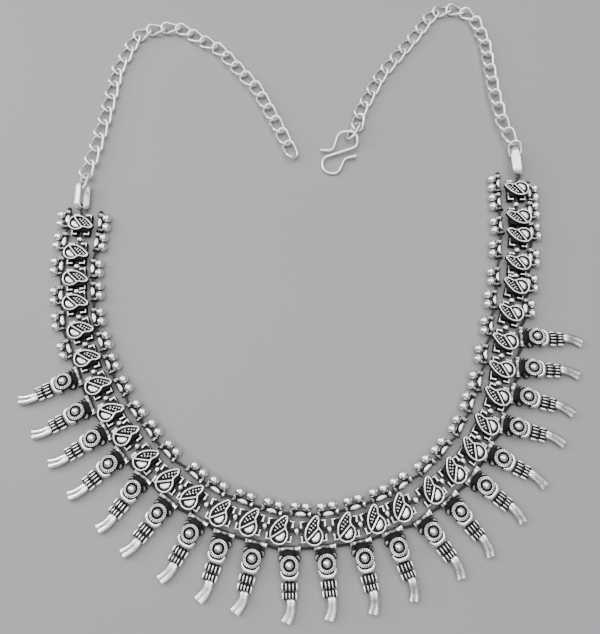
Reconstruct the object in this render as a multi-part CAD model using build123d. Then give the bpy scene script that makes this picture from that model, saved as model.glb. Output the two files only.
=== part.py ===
from build123d import *
import math
import os

# A fringe necklace lying open on a flat surface, in millimetres.
# X runs to the right, Y away from the fringe, Z up out of the surface.
# Each row of pieces has a local frame: x along the row, y towards the neck, z up.

# Threads and holes
THREAD_D = 0.8
HOLE_D = THREAD_D + 0.4
ROW_Z = 1.35
PLAQUE_THREAD_Z = 1.9

# Ball pair casting
PAIR_BARREL_LEN = 6.3
BARREL_D = 1.9
FLANGE_D = 2.6
FLANGE_W = 0.4
BULGE_D = 2.3
BALL_D = 3.0
BALL_GAP = 0.5
BALL_OUT = 2.25

# Drop casting, lengths run outwards from the middle of its barrel
DROP_BARREL_LEN = 6.8
DROP_FLANGE_D = 2 * ROW_Z
SIDE_BALL_D = 2.4
SIDE_BALL_OUT = 2.05
SIDE_BALL_X = 2.35
DISC_OUT = 4.8
DISC_D = 5.3
DISC_RIM_W = 0.75
DISC_TOP = 4.2
DISC_BASE = 2.7
MOAT_DEPTH = 0.7
PEARL_D = 2.5
DOME_W = 5.0
DOME_OUT = 6.7
DOME_LEN = 5.2
DOME_H = 3.4
RIB_ROWS = ((10.85, 1.0), (13.35, 0.9))
RIB_LEN = 2.5
RIB_ROW_W = 5.6
RIB_D = 0.86
RIB_END_D = 1.3
RIB_SWELL = 0.9
RIB_BED_H = 1.7
TAIL_START = 14.0
TAIL_END = 20.2
TAIL_D = 1.25
TAIL_Z = 0.85
TAIL_SWEEP = 1.8

# Paisley plaque
PLAQUE_LEN = 8.8
PLAQUE_W = 5.8
PLAQUE_TOP = 4.4
FIELD_Z = 3.6
FACE_Z = 2.9
RIM_W = 0.66
BAR_W = 0.58
SEED_D = 0.56
CORE_L = 5.4
CORE_W = 5.6
CORE_Z = 0.5
FRAME_HALF = 3.9
FRAME_OUT = 2.58
FRAME_W = 0.6
FRAME_LOW = 2.0
FRAME_TOP = 2.8
STEM_GAP = 0.2

# Spacer bead and the knots that end each thread
BEAD_D = 2.3
KNOT_D = 1.6
KNOT_GAP = 0.12
THREAD_BEND = 0.5
LEAST_TURN = 1.0

# Chain
WIRE_D = 1.0
LINK_HALF = 3.65
LINK_HALF_W = 2.5
LINK_TWIST = 37
LINK_BEND_R = 2.0
LINK_PITCH_LEFT = 5.86
LINK_PITCH_RIGHT = 5.9
LINKS_LEFT = 28
LINKS_RIGHT = 26
PLAIN_HALF_W = 2.1

# Bail
BAIL_LEN = 11.4
BAIL_H = 5.0
BAIL_W = 3.4
BAIL_TIP_W = 2.2
BAIL_WALL = 0.8

# Hook
HOOK_WIRE_D = 1.1

# Rows: the few corner points that each row passes, rounded by ROW_BEND.
# Columns: x, y.
ROW_BEND = 40
MIDDLE_ROUTE = [
    (-75.0, 41.5),
    (-75.9, 21.0),
    (-73.8, 2.0),
    (-67.3, -17.0),
    (-57.4, -34.5),
    (-43.5, -50.0),
    (-25.5, -61.5),
    (-3.0, -67.8),
    (18.0, -65.6),
    (37.5, -57.5),
    (52.5, -45.0),
    (62.0, -28.0),
    (66.5, -8.0),
    (72.6, 12.0),
    (75.6, 32.0),
    (76.4, 54.0),
]
INNER_ROUTE = [
    (-69.3, 38.5),
    (-70.5, 18.0),
    (-68.2, -1.0),
    (-61.9, -16.8),
    (-52.2, -32.2),
    (-40.5, -45.2),
    (-25.2, -56.0),
    (-7.8, -62.0),
    (8.6, -62.8),
    (24.6, -58.0),
    (39.4, -49.1),
    (50.6, -37.0),
    (57.6, -22.0),
    (62.8, -4.0),
    (66.8, 13.5),
    (69.8, 32.5),
    (70.7, 53.5),
]
OUTER_ROUTE = [
    (-80.9, 39.5),
    (-81.4, 20.0),
    (-79.2, 0.5),
    (-73.6, -15.8),
    (-65.3, -31.3),
    (-53.7, -46.6),
    (-38.8, -59.4),
    (-21.7, -68.5),
    (-2.0, -72.8),
    (18.0, -70.4),
    (36.0, -64.6),
    (50.7, -54.1),
    (61.5, -39.3),
    (68.6, -23.7),
    (72.6, -6.8),
    (76.4, 8.5),
    (80.0, 27.5),
    (81.6, 52.0),
]

# How far each piece lies off its even place along the row.
PLAQUE_START = 8.7
PLAQUE_PITCH = 9.45
PLAQUE_SHIFT = [
    0.0, 1.4, 1.4, 0.5, 0.9, 1.3, 1.7, 1.9,
    1.4, 1.8, 1.7, 1.2, 1.6, 1.3, 1.0, 1.5,
    1.6, 1.1, 0.1, 1.3, 1.1, 0.6, 0.0, 0.4,
    0.0, 0.0, 0.6, 1.0, 0.1, 1.0, -1.6, 0.0,
]
PLAQUES = len(PLAQUE_SHIFT)
# Two neighbours that touch, with no bead and no frame between them.
CLOSE_PLAQUE = PLAQUES - 2

PAIR_START = 4.7
PAIR_PITCH = 8.76
PAIR_SHIFT = [
    0.0, -1.4, -0.3, -0.7, -0.1, -0.1, -0.7, -0.7, -0.1, -0.7, -0.6,
    1.4, 0.5, 0.8, 1.1, 1.0, 0.6, 0.2, -0.2, -1.3, -0.9, -1.9,
    -1.7, -1.8, -3.0, -2.4, -1.2, -0.5, -0.8, 0.6, 1.0, 1.5, 0.0,
]
PAIRS = len(PAIR_SHIFT)

PAIR_TURN = [
    5, 3, 2, 3, -2, 0, 2, 4, 2, -4, -2,
    -5, -2, -2, -5, -2, 2, -2, -4, 2, 3, 3,
    5, 6, 8, 8, 8, 7, 7, 3, 6, 2, -2,
]

# Outer row. Columns: place along the row, turn against the row in degrees.
OUTER_LEFT = [
    (4.3, 0),
    (12.7, -2),
    (21.9, -5),
    (32.6, -2),
    (41.6, -7),
    (51.7, 2),
]
DROPS = [
    (61.8, -3),
    (72.3, 0),
    (82.2, -4),
    (91.2, 1),
    (101.0, 4),
    (111.7, -2),
    (122.4, -1),
    (131.1, 4),
    (141.0, -2),
    (150.9, 5),
    (161.4, -1),
    (172.0, 0),
    (181.8, 2),
    (191.8, 8),
    (201.8, 3),
    (212.0, 1),
    (221.2, 7),
    (231.3, 9),
    (241.6, 7),
    (250.5, 9),
    (260.9, 11),
]
OUTER_RIGHT = [
    (271.2, 11),
    (280.3, 8),
    (289.8, 6),
    (299.8, 4),
    (307.9, 5),
    (314.9, 4),
]

# Paisley outline about the plaque's middle, as shares of half its length.
# Columns: x, y of a corner, radius that rounds it in mm.
PAISLEY = [
    (0.17, 1.02, 0.9),
    (0.44, 0.98, 0.8),
    (0.51, 0.66, 1.6),
    (0.39, 0.25, 0.9),
    (0.63, -0.10, 1.8),
    (0.68, -0.44, 1.5),
    (0.53, -0.82, 1.5),
    (0.19, -1.02, 1.8),
    (-0.24, -1.00, 1.8),
    (-0.57, -0.76, 1.5),
    (-0.68, -0.34, 2.2),
    (-0.61, 0.09, 2.4),
    (-0.37, 0.49, 2.6),
    (-0.10, 0.78, 2.2),
]
# The slanting bar, its two ends as shares of half the length.
BAR_ENDS = [(0.42, 0.19), (-0.46, -0.56)]
# Seeds in the sunk field, as shares of half the length. Columns: x, y.
SEEDS = [
    (-0.27, 0.13),
    (-0.12, 0.33),
    (0.03, 0.48),
    (0.17, 0.62),
    (0.30, 0.76),
    (-0.30, -0.09),
    (-0.15, 0.05),
    (0.00, 0.19),
    (0.16, 0.34),
]
DOME_AT = (0.13, -0.41)
DOME_HALF = (1.65, 1.15, 0.85)

# Chain routes, rounded by CHAIN_BEND. Columns: x, y.
CHAIN_BEND = 10.5
LEFT_CHAIN_ROUTE = [
    (-76.0, 54.9),
    (-74.4, 62.0),
    (-72.0, 78.0),
    (-69.6, 99.0),
    (-62.8, 117.0),
    (-48.0, 119.2),
    (-30.5, 107.8),
    (-16.2, 90.0),
    (-9.0, 75.5),
    (-0.5, 57.0),
    (2.0, 48.0),
]
RIGHT_CHAIN_ROUTE = [
    (76.6, 68.4),
    (74.6, 75.0),
    (73.0, 88.0),
    (71.8, 112.0),
    (67.6, 127.2),
    (54.2, 128.2),
    (43.0, 112.5),
    (31.0, 97.0),
    (22.6, 80.5),
    (18.5, 62.0),
]
LINK_Z = 1.32
# How much closer two links lie for each degree that the chain bends between them.
LINK_CROWDING = 0.013
# The first links hang from the bail and the last ones from the hook's link.
FIRST_LIFTS = (1.0, 0.84, 0.68, 0.53, 0.38, 0.24, 0.1)
LAST_LIFTS = (0.2, 0.4)
# Plain link in each bail, seen from the bail's middle.
# Columns: distance along the bail, dip, roll in degrees.
LEFT_FIRST = (5.6, -14, 0)
RIGHT_FIRST = (5.6, -12, -8)
# Plain link that hangs in the hook. Columns: x, y, height, heading, roll.
HOOK_LINK = (19.6, 70.9, 2.3, -117, 50)

# Bails. Columns: x, y of the middle, turn, lean in degrees.
BAIL_LEFT = (-76.6, 43.9, 2, -35)
BAIL_RIGHT = (77.8, 57.6, 1, -24)

# Hook route, rounded by the radii below. Columns: x, y.
HOOK_ROUTE = [
    (7.5, 63.5),
    (12.0, 63.2),
    (14.2, 71.1),
    (21.2, 71.0),
    (20.9, 64.9),
    (8.0, 60.3),
    (8.3, 54.6),
    (13.6, 53.9),
    (16.3, 60.1),
    (20.4, 61.2),
]
HOOK_BENDS = [1.8, 2.6, 2.8, 2.6, 1.9, 2.4, 1.8, 1.8]
HOOK_TILT = 4.6


def row_path(points):
    return FilletPolyline(*points, radius=ROW_BEND)


def on_row(path, station, turn=0.0):
    share = station / path.length
    point = path @ share
    tangent = path % share
    angle = math.degrees(math.atan2(tangent.Y, tangent.X)) + turn
    return Location((point.X, point.Y, 0), (0, 0, angle))


def rod_x(length, diameter, z):
    return Pos(0, 0, z) * Rot(0, 90, 0) * Cylinder(diameter / 2, length)


def barrel(length, flange_d):
    body = rod_x(length - FLANGE_W, BARREL_D, ROW_Z)
    for end in (-1, 1):
        body += Pos(end * (length - FLANGE_W) / 2, 0, 0) * rod_x(FLANGE_W, flange_d, ROW_Z)
    return body + Pos(0, 0, ROW_Z) * Sphere(BULGE_D / 2)


def thread_hole(length):
    return rod_x(length + 2, HOLE_D, ROW_Z)


def ball_pair():
    body = barrel(PAIR_BARREL_LEN, FLANGE_D)
    for side in (-1, 1):
        place = Pos(side * (BALL_D + BALL_GAP) / 2, BALL_OUT, BALL_D / 2)
        body += place * Sphere(BALL_D / 2)
    return body - thread_hole(PAIR_BARREL_LEN)


def flower_disc():
    height = DISC_TOP - DISC_BASE
    disc = Pos(0, 0, DISC_BASE + height / 2) * Cylinder(DISC_D / 2, height)
    moat = Pos(0, 0, DISC_TOP) * Cylinder(DISC_D / 2 - DISC_RIM_W, 2 * MOAT_DEPTH)
    pearl = Pos(0, 0, DISC_TOP - MOAT_DEPTH + PEARL_D * 0.2) * Sphere(PEARL_D / 2)
    return (disc - moat) + pearl


def capsule(length, diameter):
    body = Rot(90, 0, 0) * Cylinder(diameter / 2, length - diameter)
    for end in (-1, 1):
        body += Pos(0, end * (length - diameter) / 2, 0) * Sphere(diameter / 2)
    return body


def rib_row(out, share):
    ribs = []
    middle = RIB_BED_H / 2 + 0.3
    for i in range(-2, 3):
        outer = abs(i) == 2
        across = RIB_END_D if outer else RIB_D
        x = share * i * (RIB_ROW_W - RIB_END_D) / 4
        z = middle + (0 if outer else RIB_SWELL - 0.22 * i * i)
        ribs.append(Pos(x, -out, z) * capsule(RIB_LEN * 0.94, across))
    bed = Pos(0, -out, middle) * Box(share * (RIB_ROW_W - 1.3), RIB_LEN * 0.8, RIB_BED_H)
    row = bed
    for rib in ribs:
        row += rib
    return row


def tail():
    strands = []
    for start_x, end_x, end_y in ((-0.15, -1.65, 0.25), (0.95, -0.05, 0.0)):
        path = FilletPolyline(
            (start_x, -TAIL_START, TAIL_Z + 0.5),
            (start_x + 0.15, -(TAIL_START + TAIL_END) / 2 + 0.4, TAIL_Z + 0.1),
            (end_x, -TAIL_END + end_y, TAIL_Z - 0.2),
            radius=5,
        )
        section = Plane(origin=path @ 0, z_dir=path % 0) * Circle(TAIL_D / 2)
        strands.append(sweep(section, path=path))
    return strands[0] + strands[1]


def drop():
    body = barrel(DROP_BARREL_LEN, DROP_FLANGE_D)
    for side in (-1, 1):
        body += Pos(side * SIDE_BALL_X, -SIDE_BALL_OUT, ROW_Z) * Sphere(SIDE_BALL_D / 2)
    stem = Pos(0, -DISC_OUT / 2 - 0.6, 1.5) * Box(2.6, DISC_OUT, 1.8)
    column = Pos(0, -DISC_OUT, 1.6) * Cylinder(2.0, 2.4)
    ball = Pos(0, -DOME_OUT, DOME_H / 2 + 0.05) * Sphere(DOME_W / 2)
    dome = ball & Pos(0, -DOME_OUT, DOME_H / 2 + 0.05) * Box(DOME_W, DOME_LEN, DOME_H)
    spine = Pos(0, -(DOME_OUT + TAIL_START) / 2 - 0.4, 1.15) * Box(2.6, TAIL_START - DOME_OUT, 1.2)
    body += stem
    body += column
    body += dome
    body += spine
    body += Pos(0, -DISC_OUT, 0) * flower_disc()
    for out, share in RIB_ROWS:
        body += rib_row(out, share)
    body += tail()
    return body - thread_hole(DROP_BARREL_LEN)


def paisley_face():
    half = PLAQUE_LEN / 2
    points = [(x * half, y * half) for x, y, radius in PAISLEY]
    bends = [radius for x, y, radius in PAISLEY]
    return make_face(FilletPolyline(*points, radius=bends, close=True))


def bar_solid():
    half = PLAQUE_LEN / 2
    (x0, y0), (x1, y1) = BAR_ENDS
    length = math.hypot(x1 - x0, y1 - y0) * half
    angle = math.degrees(math.atan2(y0 - y1, x0 - x1))
    middle = ((x0 + x1) / 2 * half, (y0 + y1) / 2 * half)
    height = PLAQUE_TOP - 0.15 - FACE_Z
    place = Location((middle[0], middle[1], FACE_Z + height / 2), (0, 0, angle))
    return place * Box(length, BAR_W, height), angle


def base_frame(left, right):
    height = PLAQUE_THREAD_Z * 2 - CORE_Z - 0.4
    core = Pos(0, 0, CORE_Z + height / 2) * Box(CORE_L, CORE_W, height)
    bar_z = (FRAME_LOW + FRAME_TOP) / 2
    bar_h = FRAME_TOP - FRAME_LOW
    for side, present in ((-1, left), (1, right)):
        if not present:
            continue
        for end in (-1, 1):
            foot = Pos(side * FRAME_HALF / 2, end * FRAME_OUT, bar_z)
            core += foot * Box(FRAME_HALF, FRAME_W, bar_h)
            stem_end = BEAD_D / 2 + STEM_GAP
            length = FRAME_OUT - stem_end
            stem = Pos(side * (FRAME_HALF - FRAME_W / 2), end * (stem_end + length / 2), bar_z)
            core += stem * Box(FRAME_W, length, bar_h)
    return core


def plaque(left=True, right=True):
    half = PLAQUE_LEN / 2
    outline = paisley_face()
    inside = offset(outline, -RIM_W)
    body = Pos(0, 0, FACE_Z) * extrude(outline, PLAQUE_TOP - FACE_Z)
    body -= Pos(0, 0, FIELD_Z) * extrude(inside, PLAQUE_TOP)
    bar, angle = bar_solid()
    inner_block = Pos(0, 0, FACE_Z) * extrude(offset(outline, -RIM_W / 2), PLAQUE_TOP)
    body += bar & inner_block
    dome = Pos(DOME_AT[0] * half, DOME_AT[1] * half, FIELD_Z) * Rot(0, 0, angle)
    body += (dome * scale(Sphere(1), DOME_HALF)) & inner_block
    for x, y in SEEDS:
        body += Pos(x * half, y * half, FIELD_Z) * Sphere(SEED_D / 2)
    leg = Pos(0, 0, FACE_Z - 0.3) * Box(CORE_L - 1.4, CORE_W - 0.8, 1.0)
    body += leg & (Pos(0, 0, 2) * extrude(outline, 3))
    hole = rod_x(2 * FRAME_HALF + 2, HOLE_D, PLAQUE_THREAD_Z)
    return body + base_frame(left, right) - hole


def spacer_bead():
    ball = Pos(0, 0, PLAQUE_THREAD_Z) * Sphere(BEAD_D / 2)
    return ball - rod_x(BEAD_D + 1, HOLE_D, PLAQUE_THREAD_Z)


def curb_link():
    flat = LINK_HALF_W * math.cos(math.radians(LINK_TWIST))
    rise = LINK_HALF_W * math.sin(math.radians(LINK_TWIST))
    half = FilletPolyline(
        (0, flat, 0),
        (LINK_HALF, flat, -rise),
        (LINK_HALF, -flat, rise),
        (0, -flat, 0),
        radius=LINK_BEND_R,
    )
    section = Plane(origin=half @ 0, z_dir=half % 0) * Circle(WIRE_D / 2)
    arm = sweep(section, path=half)
    return arm + Rot(0, 0, 180) * arm


def plain_link():
    oval = FilletPolyline(
        (0, PLAIN_HALF_W),
        (LINK_HALF, PLAIN_HALF_W),
        (LINK_HALF, -PLAIN_HALF_W),
        (0, -PLAIN_HALF_W),
        radius=PLAIN_HALF_W - 0.05,
    )
    section = Plane(origin=oval @ 0, z_dir=oval % 0) * Circle(WIRE_D / 2)
    arm = sweep(section, path=oval)
    return arm + Rot(0, 0, 180) * arm


def heading(path, station):
    tangent = path % (station / path.length)
    return math.degrees(math.atan2(tangent.Y, tangent.X))


def chain(points, pitch, count, last_lifts=()):
    path = FilletPolyline(*points, radius=CHAIN_BEND)
    curb = curb_link()
    placed = []
    station = 0.0
    for i in range(count):
        from_end = i - count + len(last_lifts)
        lift = FIRST_LIFTS[i] if i < len(FIRST_LIFTS) else 0
        lift = last_lifts[from_end] if from_end >= 0 else lift
        placed.append(Pos(0, 0, LINK_Z + lift) * on_row(path, station) * curb)
        turn = heading(path, station + pitch) - heading(path, station)
        bend = abs((turn + 180) % 360 - 180)
        station += pitch - LINK_CROWDING * bend
    return placed


def link_in_bail(place, along, dip, roll):
    lay = Pos(0, along, 0) * Rot(dip, 0, 0) * Rot(0, roll, 0) * Rot(0, 0, 90)
    return place * lay * plain_link()


def link_in_hook(x, y, height, angle, roll):
    return Pos(x, y, height) * Rot(0, 0, angle) * Rot(roll, 0, 0) * plain_link()


def bail_ring():
    outer = SlotOverall(BAIL_LEN, BAIL_H)
    inner = SlotOverall(BAIL_LEN - 2 * BAIL_WALL, BAIL_H - 2 * BAIL_WALL)
    ring = Rot(0, 0, 90) * Rot(90, 0, 0) * extrude(outer - inner, BAIL_W / 2, both=True)
    plan = Polyline(
        (-BAIL_W / 2, -BAIL_LEN),
        (BAIL_W / 2, -BAIL_LEN),
        (BAIL_W / 2, 0),
        (BAIL_TIP_W / 2, BAIL_LEN / 2),
        (-BAIL_TIP_W / 2, BAIL_LEN / 2),
        (-BAIL_W / 2, 0),
        close=True,
    )
    ring &= Pos(0, 0, -BAIL_H) * extrude(make_face(plan), 2 * BAIL_H)
    hole = Pos(0, -BAIL_LEN / 2, 0) * Rot(90, 0, 0) * Cylinder(HOLE_D / 2, 3)
    return ring - hole


def bail_place(x, y, turn, lean):
    lowest = (Rot(0, lean, 0) * bail_ring()).bounding_box().min.Z
    return Pos(x, y, -lowest) * Rot(0, 0, turn) * Rot(0, lean, 0)


def s_hook():
    path = FilletPolyline(*HOOK_ROUTE, radius=HOOK_BENDS)
    section = Plane(origin=path @ 0, z_dir=path % 0) * Circle(HOOK_WIRE_D / 2)
    low_y = min(y for x, y in HOOK_ROUTE)
    wire = Pos(0, -low_y, 0) * sweep(section, path=path)
    tilted = Rot(HOOK_TILT, 0, 0) * wire
    return Pos(0, low_y, -tilted.bounding_box().min.Z) * tilted


def ends_of(places, half_length, z):
    points = []
    for place in places:
        for end in (-1, 1):
            point = (place * Pos(end * half_length, 0, z)).position
            points.append((point.X, point.Y, point.Z))
    return points


def beyond(start, end, distance):
    step = [e - s for s, e in zip(start, end)]
    length = math.hypot(*step)
    return tuple(e + d / length * distance for e, d in zip(end, step))


def turn_at(before, point, after):
    one = Vector(*point) - Vector(*before)
    two = Vector(*after) - Vector(*point)
    return one.get_angle(two)


def corners_only(points):
    kept = [points[0]]
    for point, after in zip(points[1:-1], points[2:]):
        if turn_at(kept[-1], point, after) > LEAST_TURN:
            kept.append(point)
    return kept + [points[-1]]


def thread(points):
    path = FilletPolyline(*corners_only(points), radius=THREAD_BEND)
    section = Plane(origin=path @ 0, z_dir=path % 0) * Circle(THREAD_D / 2)
    body = sweep(section, path=path)
    for end in (points[0], points[-1]):
        body += Pos(*end) * Sphere(KNOT_D / 2)
    return body


def knotted(points):
    knot = KNOT_GAP + KNOT_D / 2
    first = beyond(points[1], points[0], knot)
    last = beyond(points[-2], points[-1], knot)
    return thread([first] + points[1:-1] + [last])


def tied_to_bails(points, places):
    knot = -BAIL_LEN / 2 + BAIL_WALL + KNOT_GAP + KNOT_D / 2
    ends = []
    for place in places:
        inside = (place * Pos(0, knot, 0)).position
        outside = (place * Pos(0, -BAIL_LEN / 2 - 0.3, 0)).position
        ends.append([(p.X, p.Y, p.Z) for p in (inside, outside)])
    return thread(ends[0] + points + ends[1][::-1])


def between(one, other, z):
    start = (one * Pos(CORE_L / 2, 0, z)).position
    end = (other * Pos(-CORE_L / 2, 0, z)).position
    angle = math.degrees(math.atan2(end.Y - start.Y, end.X - start.X))
    return Location(((start.X + end.X) / 2, (start.Y + end.Y) / 2, 0), (0, 0, angle))


def build():
    middle = row_path(MIDDLE_ROUTE)
    inner = row_path(INNER_ROUTE)
    outer = row_path(OUTER_ROUTE)
    nodes = {}
    plaque_places = []
    for i in range(PLAQUES):
        station = PLAQUE_START + i * PLAQUE_PITCH + PLAQUE_SHIFT[i]
        plaque_places.append(on_row(middle, station))
    shapes = [plaque()] * PLAQUES
    shapes[CLOSE_PLAQUE - 1] = plaque(right=False)
    shapes[CLOSE_PLAQUE] = plaque(left=False)
    plaques = [place * shape for place, shape in zip(plaque_places, shapes)]
    nodes["plaques_left"] = plaques[: PLAQUES // 2]
    nodes["plaques_right"] = plaques[PLAQUES // 2 :]
    bead = spacer_bead()
    beads = []
    for i in range(PLAQUES - 1):
        if i + 1 != CLOSE_PLAQUE:
            place = between(plaque_places[i], plaque_places[i + 1], PLAQUE_THREAD_Z)
            beads.append(place * bead)
    nodes["spacer_beads"] = beads
    pair = ball_pair()
    pair_places = []
    for i in range(PAIRS):
        station = PAIR_START + i * PAIR_PITCH + PAIR_SHIFT[i]
        pair_places.append(on_row(inner, station, PAIR_TURN[i]))
    pairs = [place * pair for place in pair_places]
    nodes["inner_ball_pairs_left"] = pairs[: PAIRS // 2]
    nodes["inner_ball_pairs_right"] = pairs[PAIRS // 2 :]
    outward = Rot(0, 0, 180) * pair
    left_places = [on_row(outer, s, t) for s, t in OUTER_LEFT]
    right_places = [on_row(outer, s, t) for s, t in OUTER_RIGHT]
    drop_places = [on_row(outer, s, t) for s, t in DROPS]
    nodes["outer_ball_pairs_left"] = [place * outward for place in left_places]
    nodes["outer_ball_pairs_right"] = [place * outward for place in right_places]
    one_drop = drop()
    for i, place in enumerate(drop_places):
        nodes[f"drop_{i + 1:02d}"] = [place * one_drop]
    bails = [bail_place(*BAIL_LEFT), bail_place(*BAIL_RIGHT)]
    left_links = chain(LEFT_CHAIN_ROUTE, LINK_PITCH_LEFT, LINKS_LEFT - 1)
    count = LINKS_RIGHT - 2
    right_links = chain(RIGHT_CHAIN_ROUTE, LINK_PITCH_RIGHT, count, LAST_LIFTS)
    nodes["chain_left"] = [link_in_bail(bails[0], *LEFT_FIRST)] + left_links
    nodes["chain_right"] = [link_in_bail(bails[1], *RIGHT_FIRST)] + right_links
    nodes["chain_right"].append(link_in_hook(*HOOK_LINK))
    nodes["bail_left"] = [bails[0] * bail_ring()]
    nodes["bail_right"] = [bails[1] * bail_ring()]
    nodes["s_hook"] = [s_hook()]
    pair_half = PAIR_BARREL_LEN / 2
    drop_half = DROP_BARREL_LEN / 2
    outer_points = ends_of(left_places, pair_half, ROW_Z)
    outer_points += ends_of(drop_places, drop_half, ROW_Z)
    outer_points += ends_of(right_places, pair_half, ROW_Z)
    nodes["threads"] = [
        tied_to_bails(ends_of(plaque_places, CORE_L / 2, PLAQUE_THREAD_Z), bails),
        knotted(ends_of(pair_places, pair_half, ROW_Z)),
        knotted(outer_points),
    ]
    return nodes


def centred(nodes):
    boxes = [piece.bounding_box() for pieces in nodes.values() for piece in pieces]
    low_x = min(box.min.X for box in boxes)
    high_x = max(box.max.X for box in boxes)
    low_y = min(box.min.Y for box in boxes)
    high_y = max(box.max.Y for box in boxes)
    low_z = min(box.min.Z for box in boxes)
    shift = Pos(-(low_x + high_x) / 2, -(low_y + high_y) / 2, -low_z)
    return {name: [shift * piece for piece in pieces] for name, pieces in nodes.items()}


os.makedirs("parts", exist_ok=True)
for name, pieces in centred(build()).items():
    solids = [solid for piece in pieces for solid in piece.solids()]
    shape = solids[0] if len(solids) == 1 else Compound(children=solids)
    export_step(shape, f"parts/{name}.step")
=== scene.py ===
import bisect
import contextlib
import math

import bmesh
import bpy
from mathutils import Matrix, Vector
from mathutils.bvhtree import BVHTree


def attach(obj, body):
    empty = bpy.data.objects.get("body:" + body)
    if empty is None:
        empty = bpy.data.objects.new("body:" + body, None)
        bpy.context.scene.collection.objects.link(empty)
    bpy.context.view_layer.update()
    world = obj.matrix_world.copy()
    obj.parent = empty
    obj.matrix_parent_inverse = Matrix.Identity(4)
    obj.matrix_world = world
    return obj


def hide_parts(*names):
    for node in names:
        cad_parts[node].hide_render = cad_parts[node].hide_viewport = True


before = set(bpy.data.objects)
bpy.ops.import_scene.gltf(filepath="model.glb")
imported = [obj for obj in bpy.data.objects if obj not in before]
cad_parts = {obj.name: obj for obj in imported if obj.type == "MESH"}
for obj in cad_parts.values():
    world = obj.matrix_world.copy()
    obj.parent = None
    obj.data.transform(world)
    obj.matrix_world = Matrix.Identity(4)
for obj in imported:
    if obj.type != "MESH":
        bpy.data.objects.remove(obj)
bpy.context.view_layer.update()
MM = 0.001

# ------ camera, light, floor

# The middle of the view, in mm, from which the rows of castings are measured too.
MIDDLE = Vector((-1.51, -18.88, 0.0))
AIM = MIDDLE * MM
CAMERA_TILT = math.radians(18.0)
CAMERA_DISTANCE = 200.0 * MM
# The lens is as long as the sensor is wide, in mm.
LENS = 36.0
NEAREST_SEEN = 0.005

# Columns: name, place, width and depth, watts, colour. Lengths in metres.
SOFTBOXES = [
    ("overhead_light", (-0.06, 0.14, 0.62), (1.10, 1.10), 12.5, (1.0, 0.99, 0.99)),
    ("left_window", (-0.75, 0.25, 0.34), (0.40, 0.40), 5.5, (0.97, 0.98, 1.0)),
    ("front_fill", (0.20, -0.60, 0.45), (0.45, 0.20), 0.6, (1.0, 0.98, 0.96)),
]
SKY_COLOUR, SKY_STRENGTH = (0.80, 0.82, 0.88, 1.0), 0.36


def add_object(name, data):
    thing = bpy.data.objects.new(name, data)
    bpy.context.scene.collection.objects.link(thing)
    return thing


def set_camera():
    data = bpy.data.cameras.new("camera")
    data.sensor_fit = "HORIZONTAL"
    data.sensor_width = LENS
    data.lens = LENS
    data.clip_start = NEAREST_SEEN
    camera = add_object("camera", data)
    back = Vector((0.0, -math.sin(CAMERA_TILT), math.cos(CAMERA_TILT)))
    camera.location = AIM + back * CAMERA_DISTANCE
    camera.rotation_euler = (CAMERA_TILT, 0.0, 0.0)
    bpy.context.scene.camera = camera


def softbox(name, stand, size, power, colour):
    data = bpy.data.lights.new(name, "AREA")
    data.shape = "RECTANGLE"
    data.size, data.size_y = size
    data.energy = power
    data.color = colour
    lamp = add_object(name, data)
    lamp.location = stand
    direction = AIM - Vector(stand)
    lamp.rotation_euler = direction.to_track_quat("-Z", "Y").to_euler()


def set_lights():
    for values in SOFTBOXES:
        softbox(*values)
    world = bpy.data.worlds.new("studio")
    world.use_nodes = True
    sky = world.node_tree.nodes["Background"]
    sky.inputs["Color"].default_value = SKY_COLOUR
    sky.inputs["Strength"].default_value = SKY_STRENGTH
    bpy.context.scene.world = world


# ------ shader groups


def shader_group(name, inputs, outputs):
    tree = bpy.data.node_groups.new(name, "ShaderNodeTree")
    for label, value in inputs:
        socket = tree.interface.new_socket(label, in_out="INPUT", socket_type="NodeSocketFloat")
        socket.default_value = value
    for label in outputs:
        tree.interface.new_socket(label, in_out="OUTPUT", socket_type="NodeSocketFloat")
    return tree, tree.nodes.new("NodeGroupInput"), tree.nodes.new("NodeGroupOutput")


def feed(tree, socket, value):
    """Links another node's socket to this one, or sets its value."""
    if isinstance(value, bpy.types.NodeSocket):
        tree.links.new(value, socket)
    elif value is not None:
        socket.default_value = value


def feed_all(tree, node, **values):
    """Inputs by their names, with _ for a space."""
    for label, value in values.items():
        feed(tree, node.inputs[label.replace("_", " ")], value)
    return node


def new_node(tree, kind, settings=None, **values):
    node = tree.nodes.new(kind)
    for name, value in (settings or {}).items():
        setattr(node, name, value)
    return feed_all(tree, node, **values)


def calculate(tree, operation, one, two=None, clamp=False):
    node = new_node(tree, "ShaderNodeMath", {"operation": operation, "use_clamp": clamp})
    for socket, value in zip(node.inputs, (one, two)):
        feed(tree, socket, value)
    return node.outputs[0]


def smooth_step(tree, value, low, high, out_low=0.0, out_high=1.0):
    node = new_node(
        tree, "ShaderNodeMapRange", {"interpolation_type": "SMOOTHSTEP"},
        Value=value, From_Min=low, From_Max=high, To_Min=out_low, To_Max=out_high,
    )
    return node.outputs["Result"]


def place_on_piece(tree):
    return tree.nodes.new("ShaderNodeTexCoord").outputs["Object"]


def mottle(tree, scale, detail=3.0):
    """Noise over the piece, scale in patches per metre."""
    spot = place_on_piece(tree)
    noise = new_node(
        tree, "ShaderNodeTexNoise", Vector=spot, Scale=scale, Detail=detail, Roughness=0.55
    )
    return noise.outputs["Fac"]


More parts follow.
